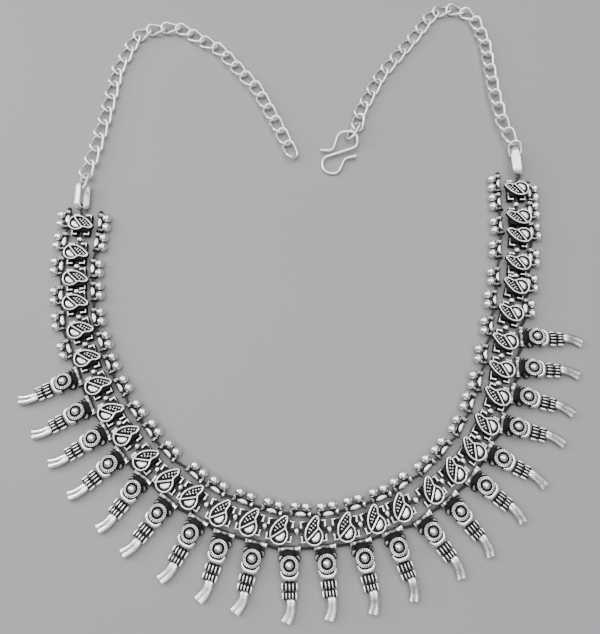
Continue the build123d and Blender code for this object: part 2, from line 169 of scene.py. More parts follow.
def oxide_and_shade_group():
    """Where the metal turns black: oxide left in the recesses that polishing doesn't reach, and painted shade
    on faces that turn sideways or down.
    """
    inputs = [("Recess", 0.0), ("Reach", 0.35), ("Softness", 0.1)]
    inputs += [("Blotch scale", 900.0), ("Blotch", 0.2)]
    tree, given, out = shader_group("Oxide_and_painted_shade", inputs, ["Black"])
    blotch = calculate(tree, "SUBTRACT", mottle(tree, given.outputs["Blotch scale"]), 0.5)
    blotch = calculate(tree, "MULTIPLY", blotch, given.outputs["Blotch"])
    depth = calculate(tree, "ADD", given.outputs["Recess"], blotch)
    low = calculate(tree, "SUBTRACT", given.outputs["Reach"], given.outputs["Softness"])
    high = calculate(tree, "ADD", given.outputs["Reach"], given.outputs["Softness"])
    feed_all(tree, out, Black=smooth_step(tree, depth, low, high))
    return tree


# How the scratches run, in radians, and how they are drawn out.
SCRATCH_LAY, SCRATCH_STRETCH = (0.3, 0.2, 0.7), (0.12, 1.0, 0.6)
# Noise values where the metal starts to look dull and where it is dull.
DULL_RANGE = (0.35, 0.7)


def handling_group():
    """Fine scratches, small dents and dulled patches from wear."""
    inputs = [("Dent scale", 700.0), ("Scratch scale", 2500.0), ("Scratches", 0.4)]
    tree, given, out = shader_group("Handling_marks", inputs, ["Dull", "Height"])
    dents = mottle(tree, given.outputs["Dent scale"], 2.0)
    spot = place_on_piece(tree)
    drawn = new_node(
        tree, "ShaderNodeMapping", Vector=spot, Rotation=SCRATCH_LAY, Scale=SCRATCH_STRETCH
    )
    scale = given.outputs["Scratch scale"]
    lines = new_node(tree, "ShaderNodeTexNoise", Vector=drawn.outputs["Vector"], Scale=scale)
    scratches = calculate(tree, "MULTIPLY", lines.outputs["Fac"], given.outputs["Scratches"])
    height = calculate(tree, "ADD", dents, scratches)
    feed_all(tree, out, Height=height, Dull=smooth_step(tree, dents, *DULL_RANGE))
    return tree


OXIDE_AND_SHADE = oxide_and_shade_group()
HANDLING = handling_group()


def attribute(tree, name):
    return new_node(tree, "ShaderNodeAttribute", {"attribute_name": name}).outputs["Fac"]


# Colour sockets of a mix node, by number because each kind of value has its own.
MIX_INPUTS, MIX_RESULT = (6, 7), 2


def blend(tree, share, one, two):
    node = new_node(tree, "ShaderNodeMix", {"data_type": "RGBA"}, Factor=share)
    for number, value in zip(MIX_INPUTS, (one, two)):
        feed(tree, node.inputs[number], (*value, 1.0) if isinstance(value, tuple) else value)
    return node.outputs[MIX_RESULT]


def new_material(name):
    material = bpy.data.materials.new(name)
    material.use_nodes = True
    return material, material.node_tree, material.node_tree.nodes["Principled BSDF"]


# Black of the oxide in the hollows, also painted as shade on faces that turn sideways or down.
OXIDE_AND_SHADE_COLOUR = (0.009, 0.008, 0.009)
BLACK_ADDS_ROUGHNESS = 0.35
DENT_DEPTH = 0.09 * MM
# At the lower darkening value a place is so polished that it shows no wear.
NO_WEAR, FULL_WEAR = -0.6, -0.2
OXIDE_SHINE = 0.12


def white_metal(name, silver, worn, reach, softness, blotch, gloss, dull, dents):
    """Silver and worn are its colours, and its black is oxide and painted shade. Reach, softness and blotch set
    the black's edge, gloss and dull the least and most roughness, dents their strength."""
    material, tree, surface = new_material(name)
    oxide_and_painted_shade = attribute(tree, "oxide_and_painted_shade")
    black_mask = new_node(
        tree, "ShaderNodeGroup", {"node_tree": OXIDE_AND_SHADE},
        Recess=oxide_and_painted_shade, Reach=reach, Softness=softness, Blotch=blotch,
    )
    marks = new_node(tree, "ShaderNodeGroup", {"node_tree": HANDLING})
    black = black_mask.outputs["Black"]
    wear = smooth_step(tree, oxide_and_painted_shade, NO_WEAR, FULL_WEAR)
    toned = blend(tree, attribute(tree, "tone"), silver, worn)
    patchy = blend(tree, calculate(tree, "MULTIPLY", marks.outputs["Dull"], wear), toned, worn)
    polish = smooth_step(tree, marks.outputs["Dull"], 0.0, 1.0, gloss, dull)
    coarse = calculate(tree, "MULTIPLY", black, BLACK_ADDS_ROUGHNESS)
    bump = new_node(
        tree, "ShaderNodeBump", Strength=calculate(tree, "MULTIPLY", wear, dents),
        Distance=DENT_DEPTH, Height=marks.outputs["Height"],
    )
    feed_all(
        tree, surface, Base_Color=blend(tree, black, patchy, OXIDE_AND_SHADE_COLOUR),
        Roughness=calculate(tree, "ADD", polish, coarse, clamp=True),
        Metallic=smooth_step(tree, black, 0.0, 1.0, 1.0, 0.0),
        Normal=bump.outputs["Normal"], Specular_IOR_Level=OXIDE_SHINE,
    )
    return material


COTTON_TONES = (0.012, 0.011, 0.012), (0.05, 0.047, 0.045)
PLIES_PER_METRE, PLY_HEIGHT = 900.0, 0.2 * MM
FLOOR_TONES = (0.225, 0.22, 0.232), (0.25, 0.244, 0.257)
CLOUDS_PER_METRE = 6.0


def cotton():
    material, tree, surface = new_material("black_cotton")
    wave = new_node(
        tree, "ShaderNodeTexWave", Vector=place_on_piece(tree), Scale=PLIES_PER_METRE, Distortion=4.0
    )
    plies = wave.outputs["Fac"]
    bump = new_node(tree, "ShaderNodeBump", Distance=PLY_HEIGHT, Height=plies)
    colour = blend(tree, plies, *COTTON_TONES)
    feed_all(tree, surface, Base_Color=colour, Roughness=0.85, Normal=bump.outputs["Normal"])
    return material


def floor_material():
    material, tree, surface = new_material("pale_floor")
    cloud = mottle(tree, CLOUDS_PER_METRE, 4.0)
    feed_all(tree, surface, Base_Color=blend(tree, cloud, *FLOOR_TONES), Roughness=0.7)
    return material


CAST = white_metal(
    "cast_metal_oxide_and_painted_shade", silver=(0.95, 0.925, 0.915), worn=(0.80, 0.77, 0.76),
    reach=0.36, softness=0.10, blotch=0.28, gloss=0.22, dull=0.34, dents=0.14,
)
BRIGHT = white_metal(
    "bright_wire_metal", silver=(0.95, 0.93, 0.92), worn=(0.80, 0.78, 0.77),
    reach=0.60, softness=0.16, blotch=0.20, gloss=0.34, dull=0.44, dents=0.08,
)
COTTON = cotton()

# ------ lines

# A corner that turns less than this, in radians, stays as it is.
STRAIGHT = 1e-4
# Headings are taken over twice this, in mm.
HEADING_STEP = 0.15


def rounded_line(points, radii, closed=False, step=3.0):
    """Straight runs joined by arcs that touch them. Points in mm, step in degrees.
    Radii is one radius, or one for each corner."""
    corners = [Vector((p[0], p[1], p[2] if len(p) > 2 else 0.0)) for p in points]
    count = len(corners)
    line = [] if closed else [corners[0]]
    for i in range(count) if closed else range(1, count - 1):
        corner = corners[i]
        back = (corners[i - 1] - corner).normalized()
        ahead = (corners[(i + 1) % count] - corner).normalized()
        turn = math.pi - back.angle(ahead)
        if turn < STRAIGHT:
            line.append(corner)
            continue
        radius = radii[i if closed else i - 1] if isinstance(radii, list) else radii
        half = (math.pi - turn) / 2
        centre = corner + (back + ahead).normalized() * radius / math.sin(half)
        start = corner + back * radius / math.tan(half) - centre
        end = corner + ahead * radius / math.tan(half) - centre
        steps = max(1, math.ceil(math.degrees(turn) / step))
        for k in range(steps + 1):
            share = k / steps
            arm = start * math.sin((1 - share) * turn) + end * math.sin(share * turn)
            line.append(centre + arm / math.sin(turn))
    return line if closed else line + [corners[-1]]


class Route:
    """A line that is measured along its length."""

    def __init__(self, line, closed=False):
        self.line = line + [line[0]] if closed else line
        self.reach = [0.0]
        for one, two in zip(self.line, self.line[1:]):
            self.reach.append(self.reach[-1] + (two - one).length)
        self.length = self.reach[-1]

    def at(self, station):
        """The place this far along, also a little outside the ends."""
        low = max(0, bisect.bisect_right(self.reach, station, 0, len(self.line) - 1) - 1)
        run = self.reach[low + 1] - self.reach[low]
        share = (station - self.reach[low]) / run if run > 0 else 0.0
        return self.line[low].lerp(self.line[low + 1], share)

    def heading(self, station):
        step = self.at(station + HEADING_STEP) - self.at(station - HEADING_STEP)
        return math.atan2(step.y, step.x)

    def evenly(self, count):
        return [self.at(self.length * i / count) for i in range(count)]


def place(x, y, z=0.0, turn=0.0):
    """Where a casting lies in the necklace, in mm and radians."""
    return Matrix.Translation((x, y, z)) @ Matrix.Rotation(turn, 4, "Z")


def on_row(route, station, turn=0.0, z=0.0):
    point = route.at(station)
    return place(point.x, point.y, z, route.heading(station) + math.radians(turn))


# ------ shapes of one casting, in mm
# Black tells how much oxide a part keeps, and on the strands' lower sides how much painted shade: below 0 it is
# polished, above about 0.4 it is black.

UP = Vector((0, 0, 1))
# From this share of its height a part counts as its top. A smaller radius than POLE is a point.
TOP_PART, POLE = 0.8, 1e-6


def new_casting():
    bm = bmesh.new()
    bm.verts.layers.float.new("black")
    return bm


@contextlib.contextmanager
def kept_black(bm, amount, top=None):
    """The parts made inside it keep this much black, and their tops may keep another."""
    before = set(bm.verts)
    yield
    layer = bm.verts.layers.float["black"]
    made = [vert for vert in bm.verts if vert not in before]
    low, high = min(vert.co.z for vert in made), max(vert.co.z for vert in made)
    for vert in made:
        on_top = top is not None and vert.co.z > low + TOP_PART * (high - low)
        vert[layer] = top if on_top else amount


def skin(bm, rings, loop=False):
    """A closed shell through rings of points. A ring of one point is a pole."""
    made = [[bm.verts.new(p) for p in ring] for ring in rings]
    following = made[1:] + made[:1] if loop else made[1:]
    for one, two in zip(made, following):
        count = max(len(one), len(two))
        for i in range(count):
            j = (i + 1) % count
            corners = [one[i % len(one)], one[j % len(one)], two[j % len(two)], two[i % len(two)]]
            bm.faces.new(list(dict.fromkeys(corners)))
    if not loop:
        for ring in (made[0], made[-1]):
            if len(ring) > 2:
                bm.faces.new(ring)
    return made


def blacken(bm, rings, by_ring=None, by_place=None):
    """Black for each ring of a skin, or for each place round its section."""
    layer = bm.verts.layers.float["black"]
    for i, ring in enumerate(rings):
        for k, vert in enumerate(ring):
            vert[layer] = by_ring[i] if by_ring else by_place[k]


def circle(radius, sides):
    turns = [2 * math.pi * i / sides for i in range(sides)]
    return [(radius * math.cos(turn), radius * math.sin(turn)) for turn in turns]


def ball(bm, at, size, around=22, levels=12, square=2.0):
    """An ellipsoid of these three diameters. Above 2, square fills its corners."""
    rings = []
    power = 2.0 / square
    for level in range(levels + 1):
        rise = math.pi * level / levels - math.pi / 2
        ring = []
        for x, y in circle(math.cos(rise), around):
            parts = (x, y, math.sin(rise))
            point = [math.copysign(abs(p) ** power, p) * full / 2 for p, full in zip(parts, size)]
            ring.append(Vector(at) + Vector(point))
        rings.append(ring[:1] if level in (0, levels) else ring)
    skin(bm, rings)


def turned(bm, profile, at, axis="X", around=24, bored=False):
    """A lathe shape about X or Z. Columns of profile: place along the axis, radius, black."""
    rings = []
    for along, radius, black in profile:
        ring = []
        for side, up in circle(radius, around):
            point = (along, side, up) if axis == "X" else (side, up, along)
            ring.append(Vector(at) + Vector(point))
        rings.append(ring[:1] if radius < POLE else ring)
    blacken(bm, skin(bm, rings, loop=bored), by_ring=[black for along, radius, black in profile])


def swept(bm, line, section, widths=None, closed=False):
    """A wire or strip: section is (side, up) pairs, widths scales both along the line."""
    rings = []
    count = len(line)
    for i, point in enumerate(line):
        before = line[i - 1] if closed or i else line[0]
        after = line[(i + 1) % count] if closed or i < count - 1 else line[-1]
        along = (after - before).normalized()
        side = along.cross(UP).normalized()
        up = side.cross(along)
        wide, high = widths[i] if widths else (1.0, 1.0)
        rings.append([point + side * u * wide + up * v * high for u, v in section])
    return skin(bm, rings, loop=closed)


def strip(bm, points, bend, step, count, section, width_at):
    """A part along a bent line, its width and height scaled by width_at(share of the line).
    Columns of section: side, up, black."""
    corners = [Vector(p) for p in points]
    line = Route(rounded_line(corners, bend, step=step)).evenly(count) + [corners[-1]]
    widths = [width_at(i / count) for i in range(count + 1)]
    made = swept(bm, line, [(side, up) for side, up, black in section], widths)
    blacken(bm, made, by_place=[black for side, up, black in section])
    return made


def block(bm, at, size, bevel):
    lay = Matrix.Translation(at) @ Matrix.Diagonal((*size, 1.0))
    made = bmesh.ops.create_cube(bm, size=1.0, matrix=lay)["verts"]
    edges = list({edge for vert in made for edge in vert.link_edges})
    bmesh.ops.bevel(
        bm, geom=edges, offset=bevel, segments=2, profile=0.5, affect="EDGES", clamp_overlap=True
    )


def moved(outline, inwards, z):
    """A closed outline moved inwards, whichever way it runs, and up."""
    following = outline[1:] + outline[:1]
    area = sum(a.x * b.y - b.x * a.y for a, b in zip(outline, following))
    sign = 1.0 if area > 0 else -1.0
    ring = []
    for before, p, after in zip(outline[-1:] + outline[:-1], outline, following):
        along = after - before
        way = Vector((-along.y, along.x, 0)).normalized() * sign
        ring.append(p + way * inwards + Vector((0, 0, z)))
    return ring


def ridge(bm, outline, section):
    """A closed ridge along an outline. Columns of section: distance inwards, height, black."""
    rings = zip(*(moved(outline, d, z) for d, z, black in section))
    blacken(bm, skin(bm, rings, loop=True), by_place=[black for d, z, black in section])


SLAB_BEVEL, SLAB_BLACKS = 0.1, (0.7, 0.42, -0.3)


def slab(bm, corners, low, high):
    """A flat plate with a bevelled top edge, from its corners."""
    outline = [Vector((x, y, 0)) for x, y in corners]
    levels = ((0.0, low), (0.0, high - SLAB_BEVEL), (SLAB_BEVEL, high))
    blacken(bm, skin(bm, [moved(outline, d, z) for d, z in levels]), by_ring=SLAB_BLACKS)


def plate(bm, outline, inset, low, high):
    skin(bm, [moved(outline, inset, z) for z in (low, high)])


# A pillow's levels. Columns: share of the outline's width, share of the height, black.
PILLOW = [
    (1.0, 0.0, 0.4), (0.985, 0.3, 0.12), (0.93, 0.58, -0.06),
    (0.82, 0.8, -0.14), (0.64, 0.93, -0.16), (0.4, 0.99, -0.16),
]
PILLOW_FOOT_BLACK, PILLOW_TOP_BLACK = 0.6, -0.16


def pillow(bm, outline, low, base, height):
    """A smooth swelling over an outline."""
    centre = sum(outline, Vector()) / len(outline)
    rings = [[p + Vector((0, 0, low)) for p in outline]]
    for out, up, black in PILLOW:
        lift = Vector((0, 0, base + height * up))
        rings.append([centre.lerp(p, out) + lift for p in outline])
    rings.append([centre + Vector((0, 0, base + height))])
    blacks = [PILLOW_FOOT_BLACK] + [black for out, up, black in PILLOW] + [PILLOW_TOP_BLACK]
    blacken(bm, skin(bm, rings), by_ring=blacks)


# Rays that feel for walls round a point: length and number, and their start off it.
RAY_REACH, RAYS, RAY_START = 1.5, 40, 0.03
FAR_WALL_LOSS = 0.6
# Below this up part of its normal a face counts as a side and gets painted shade, fully so a span lower.
SIDE_FROM, SIDE_SPAN = 0.75, 1.1
MOST_POLISHED = -1.0


def oxide_and_shade_of(mesh, sides):
    """How shut in each point is, and how black: 0 in the open, 1 deep in a recess,
    and down to -1 where it is kept most polished. Faces that turn sideways or down get painted shade."""
    verts = [v.co.copy() for v in mesh.vertices]
    tree = BVHTree.FromPolygons(verts, [tuple(p.vertices) for p in mesh.polygons])
    golden = math.pi * (3 - math.sqrt(5))
    rays = []
    for k in range(RAYS):
        up = math.sqrt(1 - (k + 0.5) / RAYS)
        flat = math.sqrt(1 - up * up)
        rays.append((flat * math.cos(golden * k), flat * math.sin(golden * k), up))
    values = []
    blacks = [item.value for item in mesh.attributes["black"].data]
    for vert, black in zip(mesh.vertices, blacks):
        normal = vert.normal
        side = normal.orthogonal().normalized()
        other = normal.cross(side)
        start = vert.co + normal * RAY_START
        total = 0.0
        for a, b, c in rays:
            hit = tree.ray_cast(start, side * a + other * b + normal * c, RAY_REACH)
            if hit[0] is not None:
                total += 1.0 - FAR_WALL_LOSS * hit[3] / RAY_REACH
        # Painted shade: sides darkens faces that turn sideways or down.
        side_shade = min(1.0, max(0.0, (SIDE_FROM - normal.z) / SIDE_SPAN))
        least = MOST_POLISHED if black <= MOST_POLISHED else 0.0
        values.append(min(1.0, max(least, total / RAYS + black + sides * side_shade)))
    mesh.attributes.new("oxide_and_painted_shade", "FLOAT", "POINT").data.foreach_set("value", values)
    mesh.attributes.remove(mesh.attributes["black"])


SHARP_EDGE = math.radians(48)


def finished(name, bm, material, sides=0.34):
    """One casting as an object in metres, kept out of the scene, to be copied along a row.
    Sides is how much painted shade darkens it where it faces sideways or down."""
    bmesh.ops.recalc_face_normals(bm, faces=bm.faces)
    mesh = bpy.data.meshes.new(name)
    bm.to_mesh(mesh)
    bm.free()
    oxide_and_shade_of(mesh, sides)
    mesh.transform(Matrix.Scale(MM, 4))
    mesh.polygons.foreach_set("use_smooth", [True] * len(mesh.polygons))
    mesh.set_sharp_from_angle(angle=SHARP_EDGE)
    mesh.materials.append(material)
    return bpy.data.objects.new(name, mesh)


# ------ the castings
# In each casting x runs along the row, y towards the neck, z up.

ROW_Z = 1.35
THREAD_Z = 1.9
HOLE_R = 0.6
BALL_D = 3.1

# Corners of the plaque. Columns: x and y as shares of its half length, radius of the bend.
PAISLEY = [
    (0.17, 1.02, 0.9), (0.44, 0.98, 0.8), (0.51, 0.66, 1.6), (0.39, 0.25, 0.9), (0.63, -0.10, 1.8),
    (0.68, -0.44, 1.5), (0.53, -0.82, 1.5), (0.19, -1.02, 1.8), (-0.24, -1.00, 1.8),
    (-0.57, -0.76, 1.5), (-0.68, -0.34, 2.2), (-0.61, 0.09, 2.4), (-0.37, 0.49, 2.6),
    (-0.10, 0.78, 2.2),
]
PAISLEY_HALF = 4.25
# The slanting bar's ends and the seeds on one side of it, in the same shares.
BAR_ENDS = [(0.42, 0.19), (-0.46, -0.56)]
SEEDS = [
    (-0.27, 0.13), (-0.12, 0.33), (0.03, 0.48), (0.17, 0.62), (0.30, 0.76),
    (-0.30, -0.09), (-0.15, 0.05), (0.00, 0.19), (0.16, 0.34),
]
# Corners of the smooth lobe on its other side, x and y.
LOBE = [
    (1.55, -0.15), (1.9, -0.9), (1.86, -2.1), (1.15, -3.1), (-0.1, -3.34), (-0.95, -2.9), (-0.85, -2.25),
]
LOBE_BEND = 0.45
# Section of the rim. Columns: distance inwards, height, black.
RIM_SECTION = [
    (0.0, 2.9, 0.7), (0.0, 3.75, 0.5), (0.03, 4.16, 0.3), (0.14, 4.34, -0.3), (0.32, 4.4, -0.45),
    (0.5, 4.34, -0.3), (0.62, 4.16, 0.25), (0.66, 3.6, 0.8), (0.3, 2.9, 0.8),
]
# Section of the bar. Columns: side, up.
BAR_SECTION = [
    (-0.29, -0.8), (-0.29, -0.02), (-0.19, 0.19), (0.0, 0.26), (0.19, 0.19), (0.29, -0.02), (0.29, -0.8),
]
BED_INSET, BED_LOW, BED_TOP = 0.28, 2.92, 3.6
BAR_Z = 4.08
SEED_Z, SEED_SIZE = 3.74, (0.62, 0.62, 0.96)
# The frame's feet, two on each side. Columns: way along y, near edge, far edge.
FEET = ((1, 1.0, 2.9), (-1, 1.25, 3.2))
FEET_LOW, FOOT_BAR_TOP, FOOT_POST_TOP = 0.6, 2.74, 2.8


def paisley_plaque(sides):
    """Sides are those on which it has its feet, -1 left and 1 right."""
    bm = new_casting()
    half = PAISLEY_HALF
    corners = [(x * half, y * half) for x, y, radius in PAISLEY]
    line = rounded_line(corners, [radius for x, y, radius in PAISLEY], closed=True)
    outline = Route(line, closed=True).evenly(80)
    ridge(bm, outline, RIM_SECTION)
    with kept_black(bm, 0.8):
        plate(bm, outline, BED_INSET, BED_LOW, BED_TOP)
    ends = [Vector((x * half, y * half, BAR_Z)) for x, y in BAR_ENDS]
    with kept_black(bm, 0.5, top=-0.35):
        swept(bm, [ends[0].lerp(ends[1], k / 6) for k in range(7)], BAR_SECTION)
    for x, y in SEEDS:
        with kept_black(bm, 0.1, top=-0.6):
            ball(bm, (x * half, y * half, SEED_Z), SEED_SIZE, 10, 8, square=2.8)
    lobe = Route(rounded_line(LOBE, LOBE_BEND, closed=True), closed=True).evenly(40)
    pillow(bm, lobe, 3.5, 3.62, 0.74)
    with kept_black(bm, 0.7):
        block(bm, (0, 0, 1.95), (5.4, 5.6, 2.9), 0.25)
        block(bm, (0, 0, 3.1), (4.0, 4.8, 1.0), 0.1)
    for side in sides:
        for way, near, far in FEET:
            bar = [(1.2, far - 0.42), (3.9, far - 0.42), (3.9, far), (1.2, far)]
            post = [(3.32, far - 0.3), (3.14, near), (3.94, near), (3.84, far - 0.3)]
            for corners, top in ((bar, FOOT_BAR_TOP), (post, FOOT_POST_TOP)):
                slab(bm, [(side * x, way * y) for x, y in corners], FEET_LOW, top)
    return bm


def bored_bead(bm, outer, z, around):
    hole = [(along, HOLE_R, 0.8) for along, radius, black in (outer[0], outer[-1])]
    turned(bm, hole[:1] + outer + hole[1:], (0, 0, z), around=around, bored=True)


GRANULE_R = 1.15


def granule():
    """The bored bead between two plaques."""
    bm = new_casting()
    outer = []
    for degrees in range(-58, 59, 9):
        sine, cosine = math.sin(math.radians(degrees)), math.cos(math.radians(degrees))
        outer.append((GRANULE_R * sine, GRANULE_R * cosine, 0.1 * abs(sine) - 0.45))
    bored_bead(bm, outer, THREAD_Z, 22)
    return bm


def barrel(bm, end, middle):
    """A bored bead, the same at both ends. Columns of end: place along, radius, black."""
    mirrored = [(-x, radius, black) for x, radius, black in end]
    bored_bead(bm, mirrored + [middle] + end[::-1], ROW_Z, 24)


def spool(bm, length, flare, waist, bulge):
    """A barrel with trumpet ends and a swollen middle, black in its hollows."""
    half = length / 2
    end = [
        (half, flare - 0.12, 0.1), (half - 0.08, flare, -0.4), (half - 0.28, flare - 0.08, -0.4),
        (half - 0.6, flare - 0.3, -0.05), (half - 0.9, waist + 0.05, 0.5), (2.0, waist, 0.6),
        (1.7, waist + 0.01, 0.4), (1.2, bulge - 0.08, 0.3), (0.6, bulge - 0.02, 0.2),
    ]
    barrel(bm, end, (0.0, bulge, 0.18))


PAIR_BALL_X, PAIR_BALL_Y = 1.72, 2.25


def ball_pair(outwards=False):
    """A spool with two balls beside it, towards the neck or outwards."""
    bm = new_casting()
    spool(bm, length=6.3, flare=1.32, waist=0.7, bulge=0.92)
    way = -1 if outwards else 1
    with kept_black(bm, -0.32):
        for side in (-1, 1):
            at = (side * PAIR_BALL_X, way * PAIR_BALL_Y, BALL_D / 2)
            ball(bm, at, (BALL_D, BALL_D, BALL_D), 26, 16)
    return bm


def notched_ring(bm, at, outer, inner, low, top, teeth=23):
    """The flower's edge, cut into teeth by notches that stay black."""
    rings, blacks = [], []
    around = teeth * 6
    for i in range(around):
        turn = 2 * math.pi * i / around
        tooth = (0.5 + 0.5 * math.cos(teeth * turn)) ** 0.8
        crest = top - 0.36 * (1 - tooth)
        edge = outer - 0.04 * (1 - tooth)
        notch = 1.3 * (1 - tooth) ** 1.2
        section = [
            (edge, low, 0.6), (edge, crest - 0.3, 0.1 + notch * 0.4),
            (edge - 0.1, crest - 0.02, notch * 0.5 - 0.5), ((edge + inner) / 2, crest, notch - 0.45),
            (inner + 0.12, top - 0.03, notch * 0.4 - 0.4), (inner, top - 0.14, 0.5), (inner, low, 0.9),
        ]
        ray = Vector((math.cos(turn), math.sin(turn), 0))
        rings.append([Vector(at) + ray * r + Vector((0, 0, z)) for r, z, black in section])
        blacks.append([black for r, z, black in section])
    for ring, row in zip(skin(bm, rings, loop=True), blacks):
        blacken(bm, [ring], by_place=row)


# Columns: place along the drop, width, length of the inner ribs.
RIB_ROWS = ((10.2, 1.0, 2.34), (12.75, 0.91, 1.9))
# Ribs of one row. Columns: place across the row, width, height over the bed.
RIB_SHAPES = [
    (-2.02, 1.02, 0.16), (-1.02, 0.52, 0.78), (0.0, 0.52, 0.95), (1.02, 0.52, 0.78), (2.02, 1.02, 0.16),
]
OUTER_RIB_LENGTH, BED_Z = 2.34, 1.15
# Above this height over the bed a rib is one of the inner ones, which stand on a black foot.
INNER_RIB = 0.5


def ribs(bm, out, width, inner_length):
    for x, across, swell in RIB_SHAPES:
        inner = swell > INNER_RIB
        z = BED_Z + swell
        length = inner_length if inner else OUTER_RIB_LENGTH
        middle = out - (OUTER_RIB_LENGTH - length) / 2
        size = (across, length, max(across, 1.0))
        with kept_black(bm, 0.15 if inner else -0.15, top=-0.5):
            ball(bm, (x * width, -middle, z), size, 14, 12, square=2.7)
        if inner:
            with kept_black(bm, 0.7):
                block(bm, (x * width, -out, z - 0.5), (0.36, 1.7, 0.9), 0.1)
    with kept_black(bm, 0.9):
        block(bm, (0, -out, BED_Z), (3.9 * width, 1.8, 1.7), 0.15)


# The two strands of a tail, middle line of each. Columns: x, y, z.
STRANDS = (
    [(-0.14, -13.35, 1.7), (-0.2, -15.0, 1.56), (-0.5, -16.7, 1.24), (-1.08, -18.1, 0.98), (-1.76, -19.3, 0.8)],
    [(0.92, -13.35, 1.7), (1.02, -15.1, 1.56), (0.82, -16.9, 1.24), (0.32, -18.5, 0.98), (-0.3, -19.85, 0.8)],
)
# Section of a strand. Columns: side, up, black. The black on its lower half is painted shade along its edges.
STRAND_SECTION = [
    (0.0, 0.66, -1.0), (0.46, 0.6, -1.2), (0.7, 0.38, -1.2), (0.78, 0.04, 0.3), (0.68, -0.4, 0.8),
    (0.3, -0.6, 0.8), (-0.3, -0.6, 0.8), (-0.68, -0.4, 0.8), (-0.78, 0.04, 0.3), (-0.7, 0.38, -1.2),
    (-0.46, 0.6, -1.2),
]
STRAND_BEND = 5.0
# Share of a strand over which it swells to its full size.
STRAND_SWELLS = 0.16


def strand_width(share):
    start = math.sqrt(1 - (1 - min(1, share / STRAND_SWELLS)) ** 2)
    return 0.3 + 0.7 * start + 0.1 * share ** 4, 0.4 + 0.6 * start - 0.1 * share


def tail(bm):
    """Two strands that run out side by side, and the ball between their starts."""
    for points in STRANDS:
        strip(bm, points, STRAND_BEND, 2.0, 20, STRAND_SECTION, strand_width)
    with kept_black(bm, -0.75):
        ball(bm, (0.39, -14.6, 1.5), (1.5, 3.0, 1.3), 22, 14, square=2.3)


# Section of the crescent outside the disc. Columns: side, up, black.
CRESCENT_SECTION = [
    (0.0, 1.45, -0.6), (0.5, 1.32, -0.65), (0.78, 0.85, -0.5), (0.86, 0.0, -0.1), (0.78, -1.3, 0.3),
    (-0.8, -1.3, 0.8), (-0.86, 0.6, 0.8), (-0.66, 1.15, 0.1), (-0.36, 1.38, -0.45),
]
CRESCENT_LINE = [(-2.5, -5.9, 1.9), (-1.95, -7.85, 1.9), (1.95, -7.85, 1.9), (2.5, -5.9, 1.9)]
CRESCENT_BEND = 1.7
# The darker stretch left of its middle: where, how long, how much blacker.
DARK_AT, DARK_SPAN, DARKER = -0.15, 0.3, 0.5


def crescent_width(share):
    side = 2 * share - 1
    return 1.0 - 0.6 * abs(side) ** 3, 1.0 - 0.14 * side ** 2


def crescent(bm):
    """The bright shoulder that wraps the disc's outer side."""
    made = strip(bm, CRESCENT_LINE, CRESCENT_BEND, 4.0, 24, CRESCENT_SECTION, crescent_width)
    for i, ring in enumerate(made):
        side = 2 * i / (len(made) - 1) - 1
        # Blacker along a stretch left of its middle.
        dull = DARKER * math.exp(-((side - DARK_AT) / DARK_SPAN) ** 2)
        blacken(bm, [ring], by_place=[black + dull for side, up, black in CRESCENT_SECTION])


# Columns: place along the row, radius, black.
DROP_BARREL = [
    (3.25, 1.24, 0.1), (3.17, 1.38, -0.45), (2.92, 1.3, -0.45), (2.5, 1.06, -0.35), (2.1, 0.88, 0.05),
    (1.6, 0.8, 0.36), (0.9, 0.82, 0.4),
]
# The disc's foot. Columns: height, radius, black.
PLINTH = [
    (0.4, 0.0, 0.8), (0.4, 2.0, 0.8), (2.3, 2.05, 0.7), (2.5, 2.5, 0.5), (3.5, 2.4, 0.8), (3.5, 0.0, 0.9),
]
DISC_OUT = 4.3


def fringe_drop():
    """A barrel with two small balls, the disc with its button, the ribs and the tail."""
    bm = new_casting()
    barrel(bm, DROP_BARREL, (0.0, 0.84, 0.4))
    with kept_black(bm, 0.34):
        for side in (-1, 1):
            ball(bm, (side * 2.15, -2.55, ROW_Z), (2.5, 2.5, 2.5), 20, 12)
    with kept_black(bm, 0.5):
        block(bm, (0, -1.15, 1.4), (3.9, 1.9, 1.6), 0.4)
    with kept_black(bm, 0.8):
        block(bm, (0, -2.8, 1.5), (2.4, 4.4, 1.8), 0.2)
        block(bm, (0, -10.0, 1.15), (2.6, 6.6, 1.2), 0.2)
    turned(bm, PLINTH, (0, -DISC_OUT, 0), "Z", 32)
    notched_ring(bm, (0, -DISC_OUT, 0), outer=2.7, inner=1.76, low=2.7, top=4.25)
    with kept_black(bm, -0.4):
        ball(bm, (0, -DISC_OUT, 3.95), (2.5, 2.5, 2.3), 24, 14)
    with kept_black(bm, 0.36):
        ball(bm, (0, -6.3, 1.75), (4.7, 4.7, 3.2), 30, 18, square=2.8)
    crescent(bm)
    for out, width, inner_length in RIB_ROWS:
        ribs(bm, out, width, inner_length)
    tail(bm)
    return bm


LINK_WIRE, LINK_X = 1.0, 3.65
# Columns: half the width between a link's corners, their bend, the twist.
CURB_LINK, PLAIN_LINK = (2.5, 2.0, math.radians(37)), (2.1, 2.05, 0.0)


def wire_link(y, bend, twist):
    """One closed link of round wire."""
    flat, rise = y * math.cos(twist), y * math.sin(twist)
    corners = [(LINK_X, flat, -rise), (LINK_X, -flat, rise), (-LINK_X, -flat, -rise), (-LINK_X, flat, rise)]
    line = Route(rounded_line(corners, bend, closed=True, step=10.0), closed=True)
    bm = new_casting()
    swept(bm, line.evenly(46), circle(LINK_WIRE / 2, 12), closed=True)
    return bm


BAIL_LEN, BAIL_H, BAIL_W, BAIL_TIP_W, BAIL_WALL = 11.4, 5.0, 3.4, 2.2, 0.8
# The other end's width as a share of the middle's.
BAIL_OTHER_END = 0.86
